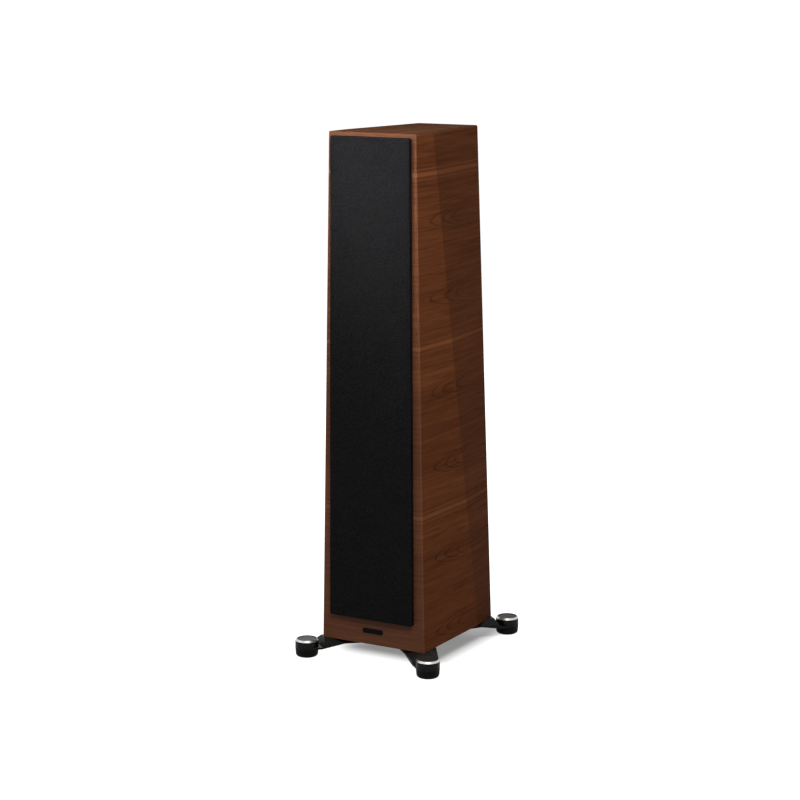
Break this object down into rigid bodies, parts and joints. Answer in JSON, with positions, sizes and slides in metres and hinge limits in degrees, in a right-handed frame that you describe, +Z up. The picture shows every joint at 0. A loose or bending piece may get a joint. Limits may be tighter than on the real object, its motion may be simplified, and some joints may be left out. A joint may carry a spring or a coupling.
{
  "type": "floorstanding speaker",
  "caption": "Tapered, creased wood floorstanding loudspeaker with a cloth front grille, cone and dome drivers, rear port, binding posts and outrigger levelling feet.",
  "frame": {"origin": "on the floor, under the middle of the feet's footprint", "axes": "+Z up, +Y towards the rear, +X to the right seen from the front"},
  "size_m": [0.298, 0.357, 0.96],
  "materials": {
    "veneer": "satin lacquer",
    "raw_board": "bare",
    "damping_wool": "matte",
    "port_plastic": "fine texture",
    "badge": "gloss",
    "grille_frame": "matte",
    "grille_cloth": "knitted",
    "magnet": "nickel",
    "cone": "satin anodised",
    "basket": "satin black",
    "surround": "matte",
    "spider": "resin dipped",
    "motor": "zinc plated",
    "screw": "black oxide",
    "board": "satin",
    "coil": "enamelled wire",
    "capacitor": "gloss",
    "lead": "matte",
    "post_metal": "gold plated",
    "post_red": "clear moulded",
    "post_black": "clear moulded",
    "arm": "satin powder coat",
    "foot_knob": "black anodised skirt, bright machined cap",
    "foot_glide": "matte"
  },
  "bodies": {
    "cabinet": {"front_baffle": "veneer", "left_side_panel": "veneer", "right_side_panel": "veneer", "top_panel": "veneer", "rear_panel": "veneer", "bottom_panel": "raw_board", "chamber_partitions": "raw_board", "window_braces": "raw_board", "damping_pads": "damping_wool", "port_tube": "port_plastic", "terminal_plate": "port_plastic", "tweeter_faceplate": "port_plastic", "badge_plate": "badge", "baffle_magnets": "magnet", "retaining_clips": "magnet", "midrange_basket": "basket", "upper_woofer_basket": "basket", "lower_woofer_basket": "basket", "midrange_surround": "surround", "upper_woofer_surround": "surround", "lower_woofer_surround": "surround", "driver_gaskets": "surround", "midrange_spider": "spider", "upper_woofer_spider": "spider", "lower_woofer_spider": "spider", "tweeter_motor": "motor", "midrange_motor": "motor", "upper_woofer_motor": "motor", "lower_woofer_motor": "motor", "wood_screws": "screw", "arm_bolts": "screw", "crossover_board": "board", "crossover_coils": "coil", "crossover_capacitors": "capacitor", "internal_wiring": "lead", "terminal_studs": "post_metal", "front_left_arm": "arm", "front_right_arm": "arm", "rear_left_arm": "arm", "rear_right_arm": "arm"},
    "grille": {"grille_frame": "grille_frame", "grille_cloth": "grille_cloth", "grille_magnets": "magnet"},
    "tweeter_dome": {"tweeter_dome": "cone"},
    "midrange_cone": {"midrange_cone": "cone"},
    "upper_woofer_cone": {"upper_woofer_cone": "cone"},
    "lower_woofer_cone": {"lower_woofer_cone": "cone"},
    "front_left_foot_knob": {"front_left_foot_knob": "foot_knob"},
    "front_left_foot_glide": {"front_left_foot_glide": "foot_glide"},
    "front_right_foot_knob": {"front_right_foot_knob": "foot_knob"},
    "front_right_foot_glide": {"front_right_foot_glide": "foot_glide"},
    "rear_left_foot_knob": {"rear_left_foot_knob": "foot_knob"},
    "rear_left_foot_glide": {"rear_left_foot_glide": "foot_glide"},
    "rear_right_foot_knob": {"rear_right_foot_knob": "foot_knob"},
    "rear_right_foot_glide": {"rear_right_foot_glide": "foot_glide"},
    "positive_post_washer": {"positive_post_washer": "post_metal"},
    "positive_post_knob": {"positive_post_knob": "post_red"},
    "negative_post_washer": {"negative_post_washer": "post_metal"},
    "negative_post_knob": {"negative_post_knob": "post_black"}
  },
  "joints": [
    {"name": "grille_pull", "type": "slide", "parent": "cabinet", "child": "grille", "axis": [0, -1, 0], "range_m": [0, 0.06]},
    {"name": "tweeter_travel", "type": "slide", "parent": "cabinet", "child": "tweeter_dome", "axis": [0, -1, 0], "range_m": [-0.0003, 0.0003], "stiffness_N_per_m": 600},
    {"name": "midrange_travel", "type": "slide", "parent": "cabinet", "child": "midrange_cone", "axis": [0, -1, 0], "range_m": [-0.003, 0.003], "stiffness_N_per_m": 900, "deforming": ["midrange_surround", "midrange_spider"]},
    {"name": "upper_woofer_travel", "type": "slide", "parent": "cabinet", "child": "upper_woofer_cone", "axis": [0, -1, 0], "range_m": [-0.004, 0.004], "stiffness_N_per_m": 800, "deforming": ["upper_woofer_surround", "upper_woofer_spider"]},
    {"name": "lower_woofer_travel", "type": "slide", "parent": "cabinet", "child": "lower_woofer_cone", "axis": [0, -1, 0], "range_m": [-0.004, 0.004], "stiffness_N_per_m": 800, "deforming": ["lower_woofer_surround", "lower_woofer_spider"]},
    {"name": "front_left_knob_spin", "type": "hinge", "parent": "cabinet", "child": "front_left_foot_knob", "pos_m": [-0.1275, -0.157, 0.02], "axis": [0, 0, 1], "range_deg": [0, 1440]},
    {"name": "front_left_glide_travel", "type": "slide", "parent": "cabinet", "child": "front_left_foot_glide", "axis": [0, 0, -1], "range_m": [0, 0.008]},
    {"name": "front_right_knob_spin", "type": "hinge", "parent": "cabinet", "child": "front_right_foot_knob", "pos_m": [0.1275, -0.157, 0.02], "axis": [0, 0, 1], "range_deg": [0, 1440]},
    {"name": "front_right_glide_travel", "type": "slide", "parent": "cabinet", "child": "front_right_foot_glide", "axis": [0, 0, -1], "range_m": [0, 0.008]},
    {"name": "rear_left_knob_spin", "type": "hinge", "parent": "cabinet", "child": "rear_left_foot_knob", "pos_m": [-0.124, 0.157, 0.02], "axis": [0, 0, 1], "range_deg": [0, 1440]},
    {"name": "rear_left_glide_travel", "type": "slide", "parent": "cabinet", "child": "rear_left_foot_glide", "axis": [0, 0, -1], "range_m": [0, 0.008]},
    {"name": "rear_right_knob_spin", "type": "hinge", "parent": "cabinet", "child": "rear_right_foot_knob", "pos_m": [0.124, 0.157, 0.02], "axis": [0, 0, 1], "range_deg": [0, 1440]},
    {"name": "rear_right_glide_travel", "type": "slide", "parent": "cabinet", "child": "rear_right_foot_glide", "axis": [0, 0, -1], "range_m": [0, 0.008]},
    {"name": "positive_clamp_travel", "type": "slide", "parent": "cabinet", "child": "positive_post_washer", "axis": [0, 1, 0], "range_m": [0, 0.006]},
    {"name": "positive_knob_spin", "type": "hinge", "parent": "positive_post_washer", "child": "positive_post_knob", "pos_m": [-0.0095, 0.1425, 0.15], "axis": [0, 1, 0], "range_deg": [0, 1728]},
    {"name": "negative_clamp_travel", "type": "slide", "parent": "cabinet", "child": "negative_post_washer", "axis": [0, 1, 0], "range_m": [0, 0.006]},
    {"name": "negative_knob_spin", "type": "hinge", "parent": "negative_post_washer", "child": "negative_post_knob", "pos_m": [0.0095, 0.1425, 0.15], "axis": [0, 1, 0], "range_deg": [0, 1728]}
  ],
  "couplings": [
    {"joint": "front_left_glide_travel", "follows": "front_left_knob_spin", "m_per_rad": 0.0003183},
    {"joint": "front_right_glide_travel", "follows": "front_right_knob_spin", "m_per_rad": 0.0003183},
    {"joint": "rear_left_glide_travel", "follows": "rear_left_knob_spin", "m_per_rad": 0.0003183},
    {"joint": "rear_right_glide_travel", "follows": "rear_right_knob_spin", "m_per_rad": 0.0003183},
    {"joint": "positive_knob_spin", "follows": "positive_clamp_travel", "rad_per_m": 5026.5},
    {"joint": "negative_knob_spin", "follows": "negative_clamp_travel", "rad_per_m": 5026.5}
  ]
}
